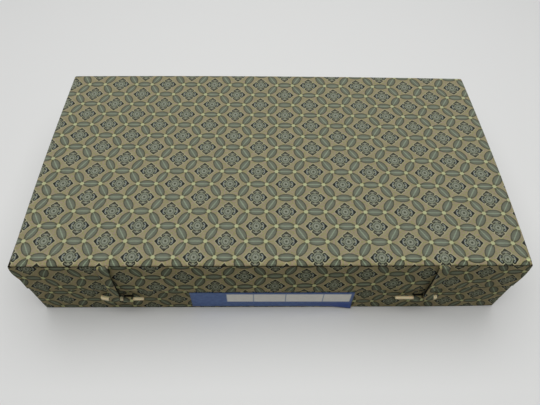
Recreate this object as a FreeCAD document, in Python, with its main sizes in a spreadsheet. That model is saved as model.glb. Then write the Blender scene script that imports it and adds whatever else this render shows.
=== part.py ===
import FreeCAD, Part
import math
import os
import re
import Sketcher

# Brocade-covered game case: a tray and a hinged lid of thick board, closed by two cloth straps with bone
# pegs. Millimetres, +Z up, origin at the middle of the tray's base, straps towards -Y, hinge towards +Y.

doc = FreeCAD.newDocument("FleetCase")
sheet = doc.addObject("Spreadsheet::Sheet", "Sizes")

SIZES = {
    # case
    "case_length": 420.0,
    "case_depth": 228.0,
    "tray_height": 43.0,
    "lid_height": 39.6,
    "rim_gap": 0.4,
    "flare_side": 1.0,
    "flare_front": 0.2,
    "front_bow": 4.2,
    # boards, cloth and paper
    "board": 4.0,
    "cloth": 0.9,
    "cover_corner": 1.6,
    "base_paper": 0.6,
    "base_inset": 1.0,
    "wadding": 1.5,
    "top_cloth": 1.0,
    "top_round": 0.8,
    "lining": 0.8,
    "lining_drop": 2.0,
    "lid_lining": 2.5,
    "fit": 0.4,
    # cloth hinge
    "hinge_cloth": 0.8,
    "hinge_flap": 24.0,
    "hinge_offset": 1.2,
    "hinge_fold": 0.7,
    "hinge_clear": 1.2,
    "hinge_inset": 3.0,
    # straps, bone pegs and loops
    "strap_inset": 71.0,
    "strap_width": 9.0,
    "strap_cloth": 1.2,
    "strap_bow": 2.0,
    "strap_drop": 2.2,
    "strap_fold": 0.9,
    "strap_gap": 0.3,
    "peg_radius": 1.65,
    "peg_tip": 1.1,
    "peg_length": 37.5,
    "peg_height": 27.5,
    "peg_room": 0.3,
    "peg_round": 0.6,
    "left_peg_head": 7.5,
    "right_peg_head": 3.5,
    "loop_cloth": 1.0,
    "loop_width": 8.5,
    "loop_foot": 14.0,
    "left_loop_gap": 3.5,
    "right_loop_gap": 0.4,
    "ring_gap": 0.4,
    # label
    "label_length": 147.0,
    "label_height": 28.8,
    "label_rise": 2.6,
    "label_paper": 0.3,
    # grid boards
    "grid_margin": 11.0,
    "deck": 6.0,
    "deck_drop": 12.0,
    "bearer": 10.0,
    "divider": 3.0,
    "divider_drop": 4.0,
    "grid_hole": 1.6,
    # ship rack and ships
    "rack_height": 14.0,
    "slot_depth": 8.0,
    "slot_margin": 6.0,
    "slot_fit": 0.5,
    "ship_gap": 2.0,
    "ship_beam": 13.0,
    "hull_depth": 7.0,
    "foot_length": 5.0,
    "foot_radius": 1.4,
    "bow_length": 14.0,
    "hit_depth": 4.0,
    "bridge_length": 6.0,
    "bridge_width": 7.0,
    "bridge_height": 5.0,
    "funnel_radius": 2.0,
    "funnel_height": 6.0,
    # peg rack and marker pegs
    "tray_rack_depth": 62.0,
    "tray_rack_height": 16.0,
    "marker_radius": 1.4,
    "marker_room": 0.15,
    "marker_seat": 9.0,
    "marker_head": 2.2,
    "marker_rise": 6.0,
}

for row, (alias, number) in enumerate(SIZES.items(), start=1):
    sheet.set(f"A{row}", alias)
    sheet.set(f"B{row}", str(number))
    sheet.setAlias(f"B{row}", alias)
doc.recompute()

BOW_STEPS = 4
GRID_CELLS = 10
SHIP_CELLS = {"destroyer": 2, "submarine": 3, "cruiser": 3, "battleship": 4, "carrier": 5}
MARKER_COLUMNS = 12
WHITE_ROWS = 2
RED_ROWS = 1
MARKER_ROWS = len([*range(WHITE_ROWS), *range(RED_ROWS)])

# Places worked out from the driving sizes, as expressions.
HALF_X = "(case_length / 2)"
HALF_Y = "(case_depth / 2)"
FLOOR_TOP = "(base_paper + board)"
LINING_TOP = f"({FLOOR_TOP} + lining)"
COVER_X = f"({HALF_X} - cloth)"
COVER_Y = f"({HALF_Y} - cloth)"
WALL_X = f"({COVER_X} - board)"
WALL_Y = f"({COVER_Y} - board)"
CLEAR_X = f"({WALL_X} - lining - fit)"
CLEAR_Y = f"({WALL_Y} - lining - fit)"
LID_LOW = "(tray_height + rim_gap)"
LID_TOP = f"({LID_LOW} + lid_height)"
STRIP_TOP = f"({LID_TOP} - top_cloth)"
WADDING_LOW = f"({STRIP_TOP} - wadding)"
TOP_BOARD_LOW = f"({WADDING_LOW} - board)"
FLARED_X = f"({COVER_X} + flare_side)"
FLARED_Y = f"({COVER_Y} + flare_front)"
HINGE_Z = "(tray_height + rim_gap / 2)"
STRAP_X = f"({HALF_X} - strap_inset)"
STRAP_FOLD_Y = f"(-{HALF_Y} - strap_gap - strap_fold)"
STRAP_FOLD_Z = f"({LID_TOP} - strap_drop)"
RING_BORE = "(peg_radius + peg_room)"
STRAP_RING = f"({RING_BORE} + strap_cloth)"
PEG_Y = f"(-{HALF_Y} - ring_gap - {STRAP_RING})"
DECK_SIDE = f"(2 * {CLEAR_Y})"
CELL = f"(({DECK_SIDE} - 2 * grid_margin) / {GRID_CELLS})"
DECK_RIGHT = f"(-{CLEAR_X} + {DECK_SIDE})"
DECK_LOW = "(tray_height - deck_drop - deck)"
DIVIDER_X = f"({DECK_RIGHT} + fit)"
RACK_X = f"({DIVIDER_X} + divider + fit)"
RACK_LENGTH = f"({CLEAR_X} - {RACK_X})"
SHIP_RACK_Y = f"(-{CLEAR_Y} + tray_rack_depth + fit)"
SHIP_RACK_DEPTH = f"({CLEAR_Y} - {SHIP_RACK_Y})"
SLOT_WIDTH = "(ship_beam + 2 * slot_fit)"
SLOT_FLOOR = f"({LINING_TOP} + rack_height - slot_depth)"
MARKER_PITCH_X = f"({RACK_LENGTH} / {MARKER_COLUMNS})"
MARKER_PITCH_Y = f"(tray_rack_depth / {MARKER_ROWS})"

nodes = []


def size(alias):
    """The number in the sheet, for starting positions and for plain solids."""
    return float(sheet.get(alias))


def bind(thing, prop, text):
    """Bind a property to an expression of sheet sizes."""
    linked = re.sub(r"[a-z_]{3,}", lambda word: "Sizes." + word.group() if word.group() in SIZES else word.group(),
                    text)
    thing.setExpression(prop, linked)


def place(thing, low):
    for axis, text in zip("xyz", low):
        bind(thing, f"Placement.Base.{axis}", text)


def add_box(label, low, lengths):
    box = doc.addObject("Part::Box", label)
    for prop, text in zip(("Length", "Width", "Height"), lengths):
        bind(box, prop, text)
    place(box, low)
    return box


def add_rod(label, radius, length, low):
    """A cylinder along X."""
    rod = doc.addObject("Part::Cylinder", label)
    bind(rod, "Radius", radius)
    bind(rod, "Height", length)
    rod.Placement.Rotation = FreeCAD.Rotation(FreeCAD.Vector(0, 1, 0), 90)
    place(rod, low)
    return rod


def join(kind, label, base, tool):
    made = doc.addObject(kind, label)
    made.Base = base
    made.Tool = tool
    return made


def keep(thing, label):
    thing.Label = label
    nodes.append(thing)
    return thing


def new_body(label, low=("0", "0", "0")):
    body = doc.addObject("PartDesign::Body", label)
    place(body, low)
    return keep(body, label)


def new_sketch(body, role, offset):
    plane = next(item for item in body.Origin.OriginFeatures if item.Role == role)
    sketch = body.newObject("Sketcher::SketchObject", body.Name + "_sketch")
    sketch.AttachmentSupport = (plane, [""])
    sketch.MapMode = "FlatFace"
    for axis, text in zip("xyz", offset):
        bind(sketch, f"AttachmentOffset.Base.{axis}", text)
    return sketch


def measure(sketch, kind, where, start, text):
    """A driving dimension: starts at a number, then follows its expression."""
    index = sketch.addConstraint(Sketcher.Constraint(kind, *where, start))
    bind(sketch, f"Constraints[{index}]", text)


def fix(sketch, kind, *where):
    sketch.addConstraint(Sketcher.Constraint(kind, *where))


def rectangle(sketch, width, height):
    """A rectangle with its low corner at the sketch's origin."""
    side = 10.0
    corners = [FreeCAD.Vector(x, y, 0) for x, y in ((0, 0), (side, 0), (side, side), (0, side))]
    first = sketch.GeometryCount
    for index in range(4):
        sketch.addGeometry(Part.LineSegment(corners[index], corners[(index + 1) % 4]))
    for index in range(4):
        fix(sketch, "Coincident", first + index, 2, first + (index + 1) % 4, 1)
    fix(sketch, "Horizontal", first)
    fix(sketch, "Vertical", first + 1)
    fix(sketch, "Horizontal", first + 2)
    fix(sketch, "Vertical", first + 3)
    fix(sketch, "Coincident", first, 1, -1, 1)
    measure(sketch, "DistanceX", (first, 1, first, 2), side, width)
    measure(sketch, "DistanceY", (first + 1, 1, first + 1, 2), side, height)


def bowed_outline(sketch, width, height, front, back):
    """As the rectangle, with the front and back edges bowed towards -Y by the given multiples of front_bow."""
    side = 10.0
    marks = []
    for step in range(BOW_STEPS + 1):
        share = step / BOW_STEPS
        marks.append((share, 4 * share * (1 - share) * front, "0"))
    for step in range(BOW_STEPS, -1, -1):
        share = step / BOW_STEPS
        marks.append((share, 4 * share * (1 - share) * back, height))
    points = [FreeCAD.Vector(side * share, (side if base == height else 0.0) - bow, 0) for share, bow, base in marks]
    count = len(points)
    for index in range(count):
        sketch.addGeometry(Part.LineSegment(points[index], points[(index + 1) % count]))
    for index, (share, bow, base) in enumerate(marks):
        fix(sketch, "Coincident", index, 2, (index + 1) % count, 1)
        if index:
            measure(sketch, "DistanceX", (-1, 1, index, 1), points[index].x, f"({width}) * {share}")
            measure(sketch, "DistanceY", (-1, 1, index, 1), points[index].y, f"{base} - front_bow * {bow}")
    fix(sketch, "Coincident", 0, 1, -1, 1)


def circle(sketch, x, y, radius):
    index = sketch.addGeometry(Part.Circle(FreeCAD.Vector(10, 10, 0), FreeCAD.Vector(0, 0, 1), 1.0))
    measure(sketch, "DistanceX", (-1, 1, index, 3), 10.0, x)
    measure(sketch, "DistanceY", (-1, 1, index, 3), 10.0, y)
    measure(sketch, "Radius", (index,), 1.0, radius)


def feature(body, kind, sketch, length, both_ways=False):
    """A pad or pocket of one sketch."""
    made = body.newObject("PartDesign::" + kind, body.Name + "_" + kind.lower())
    made.Profile = sketch
    bind(made, "Length", length)
    made.Midplane = both_ways
    return made


def pad_rectangle(body, kind, offset, width, height, length):
    sketch = new_sketch(body, "XY_Plane", offset)
    rectangle(sketch, width, height)
    return feature(body, kind, sketch, length)


def loft(body, kind, low, low_size, high, high_size, bows=None):
    """A block whose outline runs straight from a low rectangle, bowed or not, to a high one."""
    sketches = []
    for offset, lengths, bowed in ((low, low_size, True), (high, high_size, False)):
        sketch = new_sketch(body, "XY_Plane", offset)
        if bows is None:
            rectangle(sketch, *lengths)
        else:
            bowed_outline(sketch, *lengths, *(bows if bowed else (0, 0)))
        sketches.append(sketch)
    made = body.newObject("PartDesign::" + kind, body.Name + "_loft")
    made.Profile = sketches[0]
    made.Sections = [sketches[1]]
    made.Ruled = True
    return made


def round_corners(body, radius, reach_x, reach_y):
    """Round the upright outer corners, which lie beyond the given reach from the middle."""
    doc.recompute()
    base = body.Tip
    names = []
    for number, edge in enumerate(base.Shape.Edges, start=1):
        box = edge.BoundBox
        middle = box.Center
        if box.ZLength > box.XLength + box.YLength and abs(middle.x) > reach_x and abs(middle.y) > reach_y:
            names.append(f"Edge{number}")
    fillet = body.newObject("PartDesign::Fillet", body.Name + "_fillet")
    fillet.Base = (base, names)
    bind(fillet, "Radius", radius)


def repeat_along_y(body, pocket, sketch, pitch, count):
    pattern = body.newObject("PartDesign::LinearPattern", body.Name + "_rows")
    pattern.Originals = [pocket]
    pattern.Direction = (sketch, ["V_Axis"])
    bind(pattern, "Length", f"{pitch} * {count - 1}")
    pattern.Occurrences = count
    body.Tip = pattern


# Tray: base paper, floor, four walls, brocade round the walls, linings
keep(add_box("tray_base_paper", (f"-{HALF_X} + base_inset", f"-{HALF_Y} + base_inset", "0"),
             ("case_length - 2 * base_inset", "case_depth - 2 * base_inset", "base_paper")), "tray_base_paper")
keep(add_box("tray_floor_board", (f"-{COVER_X}", f"-{COVER_Y}", "base_paper"),
             (f"2 * {COVER_X}", f"2 * {COVER_Y}", "board")), "tray_floor_board")
TRAY_WALL = f"(tray_height - {FLOOR_TOP})"
for label, low_y in (("tray_front_board", f"-{COVER_Y}"), ("tray_back_board", WALL_Y)):
    keep(add_box(label, (f"-{COVER_X}", low_y, FLOOR_TOP), (f"2 * {COVER_X}", "board", TRAY_WALL)), label)
for label, low_x in (("tray_left_board", f"-{COVER_X}"), ("tray_right_board", WALL_X)):
    keep(add_box(label, (low_x, f"-{WALL_Y}", FLOOR_TOP), ("board", f"2 * {WALL_Y}", TRAY_WALL)), label)


def tray_cover():
    body = new_body("tray_cover", ("0", "0", "base_paper"))
    tall = "tray_height - base_paper"
    pad_rectangle(body, "Pad", (f"-{HALF_X}", f"-{HALF_Y}", "0"), "case_length", "case_depth", tall)
    pad_rectangle(body, "Pocket", (f"-{COVER_X}", f"-{COVER_Y}", tall), f"2 * {COVER_X}", f"2 * {COVER_Y}", tall)
    round_corners(body, "cover_corner", size("case_length") / 2 - size("cloth") / 2,
                  size("case_depth") / 2 - size("cloth") / 2)


tray_cover()
keep(add_box("tray_floor_lining", (f"-{WALL_X}", f"-{WALL_Y}", FLOOR_TOP),
             (f"2 * {WALL_X}", f"2 * {WALL_Y}", "lining")), "tray_floor_lining")


def tray_wall_lining():
    body = new_body("tray_wall_lining", ("0", "0", LINING_TOP))
    tall = f"tray_height - {LINING_TOP} - lining_drop"
    pad_rectangle(body, "Pad", (f"-{WALL_X}", f"-{WALL_Y}", "0"), f"2 * {WALL_X}", f"2 * {WALL_Y}", tall)
    pad_rectangle(body, "Pocket", (f"-{WALL_X} + lining", f"-{WALL_Y} + lining", tall),
                  f"2 * ({WALL_X} - lining)", f"2 * ({WALL_Y} - lining)", tall)


tray_wall_lining()

# Lid: walls that lean out towards the rim, the front one bowed along it, top board, wadding, brocade, lining


def lid_wall(label, low, low_size, high, high_size, bows=None):
    body = new_body(label)
    loft(body, "AdditiveLoft", (*low, LID_LOW), low_size, (*high, TOP_BOARD_LOW), high_size, bows)


lid_wall("lid_front_board", (f"-{FLARED_X}", f"-{FLARED_Y}"), (f"2 * {FLARED_X}", "board"),
         (f"-{COVER_X}", f"-{COVER_Y}"), (f"2 * {COVER_X}", "board"), (1, 1))
lid_wall("lid_back_board", (f"-{FLARED_X}", WALL_Y), (f"2 * {FLARED_X}", "board"),
         (f"-{COVER_X}", WALL_Y), (f"2 * {COVER_X}", "board"))
LOW_SIDE = f"({FLARED_Y} - board + {WALL_Y})"
for label, low_x, high_x in (("lid_left_board", f"-{FLARED_X}", f"-{COVER_X}"),
                             ("lid_right_board", f"{FLARED_X} - board", WALL_X)):
    lid_wall(label, (low_x, f"-{FLARED_Y} + board"), ("board", LOW_SIDE),
             (high_x, f"-{WALL_Y}"), ("board", f"2 * {WALL_Y}"))
keep(add_box("lid_top_board", (f"-{COVER_X}", f"-{COVER_Y}", TOP_BOARD_LOW),
             (f"2 * {COVER_X}", f"2 * {COVER_Y}", "board")), "lid_top_board")
keep(add_box("lid_wadding", (f"-{COVER_X}", f"-{COVER_Y}", WADDING_LOW),
             (f"2 * {COVER_X}", f"2 * {COVER_Y}", "wadding")), "lid_wadding")


def lid_side_cover():
    body = new_body("lid_side_cover")
    crown = f"({STRIP_TOP} - {TOP_BOARD_LOW})"
    loft(body, "AdditiveLoft", (f"-{HALF_X} - flare_side", f"-{HALF_Y} - flare_front", LID_LOW),
         ("case_length + 2 * flare_side", "case_depth + flare_front"),
         (f"-{HALF_X}", f"-{HALF_Y}", TOP_BOARD_LOW), ("case_length", "case_depth"), (1, 0))
    pad_rectangle(body, "Pad", (f"-{HALF_X}", f"-{HALF_Y}", TOP_BOARD_LOW), "case_length", "case_depth", crown)
    loft(body, "SubtractiveLoft", (f"-{FLARED_X}", f"-{FLARED_Y}", LID_LOW),
         (f"2 * {FLARED_X}", f"{FLARED_Y} + {COVER_Y}"),
         (f"-{COVER_X}", f"-{COVER_Y}", TOP_BOARD_LOW), (f"2 * {COVER_X}", f"2 * {COVER_Y}"), (1, 0))
    pad_rectangle(body, "Pocket", (f"-{COVER_X}", f"-{COVER_Y}", STRIP_TOP),
                  f"2 * {COVER_X}", f"2 * {COVER_Y}", crown)


def lid_top_cover():
    body = new_body("lid_top_cover", ("0", "0", STRIP_TOP))
    panel = pad_rectangle(body, "Pad", (f"-{HALF_X}", f"-{HALF_Y}", "0"), "case_length", "case_depth", "top_cloth")
    doc.recompute()
    top = panel.Shape.BoundBox.ZMax
    rim = [f"Edge{number}" for number, edge in enumerate(panel.Shape.Edges, start=1) if edge.BoundBox.ZMin == top]
    fillet = body.newObject("PartDesign::Fillet", "lid_top_cover_fillet")
    fillet.Base = (panel, rim)
    bind(fillet, "Radius", "top_round")


lid_side_cover()
lid_top_cover()
keep(add_box("lid_lining", (f"-{WALL_X} + fit", f"-{WALL_Y} + fit", f"{TOP_BOARD_LOW} - lid_lining"),
             (f"2 * ({WALL_X} - fit)", f"2 * ({WALL_Y} - fit)", "lid_lining")), "lid_lining")

# Cloth hinge: the tray's flap carries the round fold, the lid's flap turns about it
HINGE_X = f"(-{HALF_X} + hinge_inset)"
HINGE_LENGTH = "(case_length - 2 * hinge_inset)"
tray_flap = add_box("tray_flap", (HINGE_X, HALF_Y, f"{HINGE_Z} - hinge_flap"),
                    (HINGE_LENGTH, "hinge_cloth", "hinge_flap"))
fold = add_rod("hinge_fold_rod", "hinge_fold", HINGE_LENGTH, (HINGE_X, f"{HALF_Y} + hinge_offset", HINGE_Z))
keep(join("Part::Fuse", "hinge_cloth_tray", tray_flap, fold), "hinge_cloth_tray")
keep(add_box("hinge_cloth_lid", (HINGE_X, HALF_Y, f"{HINGE_Z} + hinge_clear"),
             (HINGE_LENGTH, "hinge_cloth", "hinge_flap - hinge_clear")), "hinge_cloth_lid")

# Straps, bone pegs and tray loops


def strap(label, middle_x):
    """A bowed ribbon from its fold at the lid's top edge down to a ring round the peg."""
    body = new_body(label, (middle_x, "0", "0"))
    face_top = f"({STRAP_FOLD_Y} - strap_fold)"
    face_low = f"({PEG_Y} - {STRAP_RING})"
    chord = f"(({face_top} - {face_low})^2 + ({STRAP_FOLD_Z} - peg_height)^2)"
    bow_radius = f"{chord} / (8 * strap_bow) + strap_bow / 2"
    top_y = -size("case_depth") / 2 - size("strap_gap") - 2 * size("strap_fold")
    ring = size("peg_radius") + size("peg_room") + size("strap_cloth")
    low_y = -size("case_depth") / 2 - size("ring_gap") - 2 * ring
    top_z = size("tray_height") + size("rim_gap") + size("lid_height") - size("strap_drop")
    low_z = size("peg_height")
    sketch = new_sketch(body, "YZ_Plane", ("0", "0", "0"))
    ends = []
    for back in (0.0, size("strap_cloth")):
        top = FreeCAD.Vector(top_y + back, top_z, 0)
        low = FreeCAD.Vector(low_y + back, low_z, 0)
        middle = (top + low) / 2 - FreeCAD.Vector(size("strap_bow"), 0, 0)
        index = sketch.addGeometry(Part.Arc(top, middle, low))
        starts_high = sketch.Geometry[index].StartPoint.y > sketch.Geometry[index].EndPoint.y
        ends.append((index, 1 if starts_high else 2, 2 if starts_high else 1))
    front, rear = ends
    for end in (1, 2):
        points = [sketch.getPoint(item[0], item[end]) for item in ends]
        index = sketch.addGeometry(Part.LineSegment(*points))
        fix(sketch, "Coincident", index, 1, front[0], front[end])
        fix(sketch, "Coincident", index, 2, rear[0], rear[end])
        fix(sketch, "Horizontal", index)
        measure(sketch, "DistanceX", (index, 1, index, 2), size("strap_cloth"), "strap_cloth")
    fix(sketch, "Equal", front[0], rear[0])
    measure(sketch, "DistanceX", (-1, 1, front[0], front[1]), top_y, face_top)
    measure(sketch, "DistanceY", (-1, 1, front[0], front[1]), top_z, STRAP_FOLD_Z)
    measure(sketch, "DistanceX", (-1, 1, front[0], front[2]), low_y, face_low)
    measure(sketch, "DistanceY", (-1, 1, front[0], front[2]), low_z, "peg_height")
    measure(sketch, "Radius", (front[0],), sketch.Geometry[front[0]].Radius, bow_radius)
    feature(body, "Pad", sketch, "strap_width", True)
    for y, z, radius, kind in ((STRAP_FOLD_Y, STRAP_FOLD_Z, "strap_fold", "Pad"),
                               (PEG_Y, "peg_height", STRAP_RING, "Pad"),
                               (PEG_Y, "peg_height", RING_BORE, "Pocket")):
        round_sketch = new_sketch(body, "YZ_Plane", (y, z, "0"))
        circle(round_sketch, "0", "0", radius)
        feature(body, kind, round_sketch, "strap_width", True)


def bone_peg(label, head_x, turn):
    """A tapered peg turned about X, head outwards, tip towards the middle of the case."""
    body = new_body(label, (head_x, PEG_Y, "peg_height"))
    body.Placement.Rotation = FreeCAD.Rotation(FreeCAD.Vector(0, 0, 1), turn)
    sketch = new_sketch(body, "XZ_Plane", ("0", "0", "0"))
    length = size("peg_length")
    corners = ((0, 0), (length, 0), (length, size("peg_tip")), (0, size("peg_radius")))
    points = [FreeCAD.Vector(x, y, 0) for x, y in corners]
    for index in range(4):
        sketch.addGeometry(Part.LineSegment(points[index], points[(index + 1) % 4]))
    for index in range(4):
        fix(sketch, "Coincident", index, 2, (index + 1) % 4, 1)
    fix(sketch, "Coincident", 0, 1, -1, 1)
    fix(sketch, "Horizontal", 0)
    fix(sketch, "Vertical", 1)
    fix(sketch, "Vertical", 3)
    measure(sketch, "DistanceX", (0, 1, 0, 2), length, "peg_length")
    measure(sketch, "DistanceY", (1, 1, 1, 2), size("peg_tip"), "peg_tip")
    measure(sketch, "DistanceY", (3, 2, 3, 1), size("peg_radius"), "peg_radius")
    turned = body.newObject("PartDesign::Revolution", label + "_turned")
    turned.Profile = sketch
    turned.ReferenceAxis = (sketch, ["H_Axis"])
    turned.Angle = 360
    doc.recompute()
    rims = [f"Edge{number}" for number, edge in enumerate(turned.Shape.Edges, start=1)
            if isinstance(edge.Curve, Part.Circle)]
    rounded = body.newObject("PartDesign::Fillet", label + "_rounded")
    rounded.Base = (turned, rims)
    bind(rounded, "Radius", "peg_round")


def tray_loop(label, middle_x):
    """A cloth loop round the peg, on a flat foot glued to the tray's front."""
    low_x = f"{middle_x} - loop_width / 2"
    foot = add_box(label + "_foot", (low_x, f"-{HALF_Y} - loop_cloth", "peg_height - loop_foot / 2"),
                   ("loop_width", "loop_cloth", "loop_foot"))
    ring = add_rod(label + "_ring", f"{RING_BORE} + loop_cloth", "loop_width", (low_x, PEG_Y, "peg_height"))
    bore = add_rod(label + "_bore", RING_BORE, "loop_width", (low_x, PEG_Y, "peg_height"))
    whole = join("Part::Fuse", label + "_whole", foot, ring)
    keep(join("Part::Cut", label, whole, bore), label)


for side, sign, turn in (("left", "-", 0), ("right", "", 180)):
    strap(f"strap_{side}", f"{sign}{STRAP_X}")
    bone_peg(f"peg_{side}", f"{sign}({STRAP_X} + strap_width / 2 + {side}_peg_head)", turn)
    tray_loop(f"loop_{side}", f"{sign}({STRAP_X} - strap_width / 2 - {side}_loop_gap - loop_width / 2)")

keep(add_box("label", ("-label_length / 2", f"-{HALF_Y} - label_paper", "base_paper + label_rise"),
             ("label_length", "label_paper", "label_height")), "label")

# Grid boards: one on bearers in the tray, one on the lid's lining


def grid_board(label, low_z):
    body = new_body(label, (f"-{CLEAR_X}", f"-{CLEAR_Y}", low_z))
    pad_rectangle(body, "Pad", ("0", "0", "0"), DECK_SIDE, DECK_SIDE, "deck")
    row_sketch = new_sketch(body, "XY_Plane", ("grid_margin", "grid_margin", "deck"))
    for column in range(GRID_CELLS):
        circle(row_sketch, f"{CELL} * {column + 0.5}", f"{CELL} / 2", "grid_hole")
    holes = feature(body, "Pocket", row_sketch, "deck")
    repeat_along_y(body, holes, row_sketch, CELL, GRID_CELLS)


grid_board("ocean_grid_board", DECK_LOW)
grid_board("target_grid_board", f"{TOP_BOARD_LOW} - lid_lining - deck")
for label, low_x in (("bearer_left", f"-{CLEAR_X}"), ("bearer_right", f"{DECK_RIGHT} - bearer")):
    keep(add_box(label, (low_x, f"-{CLEAR_Y}", LINING_TOP), ("bearer", DECK_SIDE, f"{DECK_LOW} - {LINING_TOP}")),
         label)
keep(add_box("storage_divider", (DIVIDER_X, f"-{CLEAR_Y}", LINING_TOP),
             ("divider", DECK_SIDE, f"tray_height - divider_drop - {LINING_TOP}")), "storage_divider")

# Ship rack with one slot per ship, and the ships in it


def ship_length(cells):
    return f"({CELL} * {cells} - ship_gap)"


def slot_middle(place_in_rack):
    return f"({SHIP_RACK_DEPTH} * {(place_in_rack + 0.5) / len(SHIP_CELLS)})"


def ship_rack():
    body = new_body("ship_rack", (RACK_X, SHIP_RACK_Y, LINING_TOP))
    pad_rectangle(body, "Pad", ("0", "0", "0"), RACK_LENGTH, SHIP_RACK_DEPTH, "rack_height")
    for index, cells in enumerate(SHIP_CELLS.values()):
        pad_rectangle(body, "Pocket", ("slot_margin", f"{slot_middle(index)} - {SLOT_WIDTH} / 2", "rack_height"),
                      f"{ship_length(cells)} + 2 * slot_fit", SLOT_WIDTH, "slot_depth")


def hull_outline(sketch, length_text, length):
    """Square stern at the origin, parallel sides, two arcs meeting at the bow."""
    half = size("ship_beam") / 2
    shoulder = length - size("bow_length")
    radius = (size("bow_length") ** 2 + half ** 2) / (2 * half)
    turn = math.asin(size("bow_length") / radius) / 2
    reach = radius * math.sin(turn)
    rise = half - radius + radius * math.cos(turn)
    stern_low, stern_high = FreeCAD.Vector(0, -half, 0), FreeCAD.Vector(0, half, 0)
    port, starboard = FreeCAD.Vector(shoulder, half, 0), FreeCAD.Vector(shoulder, -half, 0)
    bow = FreeCAD.Vector(length, 0, 0)
    sketch.addGeometry(Part.LineSegment(stern_high, stern_low))
    sketch.addGeometry(Part.LineSegment(stern_low, starboard))
    sketch.addGeometry(Part.LineSegment(port, stern_high))
    sketch.addGeometry(Part.Arc(starboard, FreeCAD.Vector(shoulder + reach, -rise, 0), bow))
    sketch.addGeometry(Part.Arc(bow, FreeCAD.Vector(shoulder + reach, rise, 0), port))
    fix(sketch, "Coincident", 0, 2, 1, 1)
    fix(sketch, "Coincident", 2, 2, 0, 1)
    fix(sketch, "Tangent", 1, 2, 3, 1)
    fix(sketch, "Coincident", 3, 2, 4, 1)
    fix(sketch, "Tangent", 4, 2, 2, 1)
    fix(sketch, "Horizontal", 1)
    fix(sketch, "Horizontal", 2)
    fix(sketch, "Symmetric", 0, 1, 0, 2, -1, 1)
    fix(sketch, "PointOnObject", 3, 2, -1)
    measure(sketch, "DistanceY", (0, 2, 0, 1), 2 * half, "ship_beam")
    measure(sketch, "DistanceX", (1, 1, 1, 2), shoulder, f"{length_text} - bow_length")
    measure(sketch, "DistanceX", (-1, 1, 3, 2), length, length_text)


def ship(label, place_in_rack, cells):
    """Hull on two feet, a hit hole per cell, a bridge and a funnel between the holes."""
    body = new_body(label, (f"{RACK_X} + slot_margin + slot_fit", f"{SHIP_RACK_Y} + {slot_middle(place_in_rack)}",
                            SLOT_FLOOR))
    cell = (2 * (size("case_depth") / 2 - size("cloth") - size("board") - size("lining") - size("fit"))
            - 2 * size("grid_margin")) / GRID_CELLS
    hull = new_sketch(body, "XY_Plane", ("0", "0", "foot_length"))
    hull_outline(hull, ship_length(cells), cell * cells - size("ship_gap"))
    feature(body, "Pad", hull, "hull_depth")
    feet = new_sketch(body, "XY_Plane", ("-ship_gap / 2", "0", "0"))
    for index in (0, cells - 1):
        circle(feet, f"{CELL} * {index + 0.5}", "0", "foot_radius")
    feature(body, "Pad", feet, "foot_length")
    deck_top = "(foot_length + hull_depth)"
    bridge_at = (cells + 1) // 2
    pad_rectangle(body, "Pad", (f"{CELL} * {bridge_at} - ship_gap / 2 - bridge_length / 2", "-bridge_width / 2",
                                deck_top), "bridge_length", "bridge_width", "bridge_height")
    if cells > 2:
        funnel = new_sketch(body, "XY_Plane", ("-ship_gap / 2", "0", deck_top))
        circle(funnel, f"{CELL} * {bridge_at - 1}", "0", "funnel_radius")
        feature(body, "Pad", funnel, "funnel_height")
    hits = new_sketch(body, "XY_Plane", ("-ship_gap / 2", "0", deck_top))
    for index in range(cells):
        circle(hits, f"{CELL} * {index + 0.5}", "0", "grid_hole")
    feature(body, "Pocket", hits, "hit_depth")


ship_rack()
for index, (name, cells) in enumerate(SHIP_CELLS.items()):
    ship(f"ship_{name}", index, cells)

# Peg rack and the marker pegs that stand in it


def peg_rack():
    body = new_body("peg_rack", (RACK_X, f"-{CLEAR_Y}", LINING_TOP))
    pad_rectangle(body, "Pad", ("0", "0", "0"), RACK_LENGTH, "tray_rack_depth", "tray_rack_height")
    row_sketch = new_sketch(body, "XY_Plane", ("0", "0", "tray_rack_height"))
    for column in range(MARKER_COLUMNS):
        circle(row_sketch, f"{MARKER_PITCH_X} * {column + 0.5}", f"{MARKER_PITCH_Y} / 2", "marker_radius + marker_room")
    holes = feature(body, "Pocket", row_sketch, "marker_seat")
    repeat_along_y(body, holes, row_sketch, MARKER_PITCH_Y, MARKER_ROWS)
    return body


def marker_pegs(label, rack, rows):
    """A group of loose pegs, each a shank with a tapered head, standing in the rack's holes."""
    corner = rack.Placement.Base
    box = rack.Shape.BoundBox
    pitch_x = box.XLength / MARKER_COLUMNS
    pitch_y = box.YLength / MARKER_ROWS
    low = size("tray_rack_height") - size("marker_seat")
    solids = []
    for row in rows:
        for column in range(MARKER_COLUMNS):
            foot = FreeCAD.Vector(pitch_x * (column + 0.5), pitch_y * (row + 0.5), low)
            shank = Part.makeCylinder(size("marker_radius"), size("marker_seat"), foot)
            head_foot = foot + FreeCAD.Vector(0, 0, size("marker_seat"))
            head = Part.makeCone(size("marker_head"), size("marker_radius"), size("marker_rise"), head_foot)
            solids.append(shank.fuse(head).removeSplitter().Solids[0])
    group = doc.addObject("Part::Feature", label)
    group.Shape = Part.makeCompound(solids)
    group.Placement.Base = corner
    keep(group, label)


rack = peg_rack()
doc.recompute()
marker_pegs("pegs_white", rack, range(WHITE_ROWS))
marker_pegs("pegs_red", rack, range(WHITE_ROWS, MARKER_ROWS))

doc.recompute()
for item in doc.Objects:
    if "Invalid" in item.State or "Error" in item.State:
        raise RuntimeError(f"{item.Label} failed: {item.State}")
for node in nodes:
    if node.Shape.isNull() or not node.Shape.isValid():
        raise RuntimeError(f"{node.Label} has no valid shape")

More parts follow.
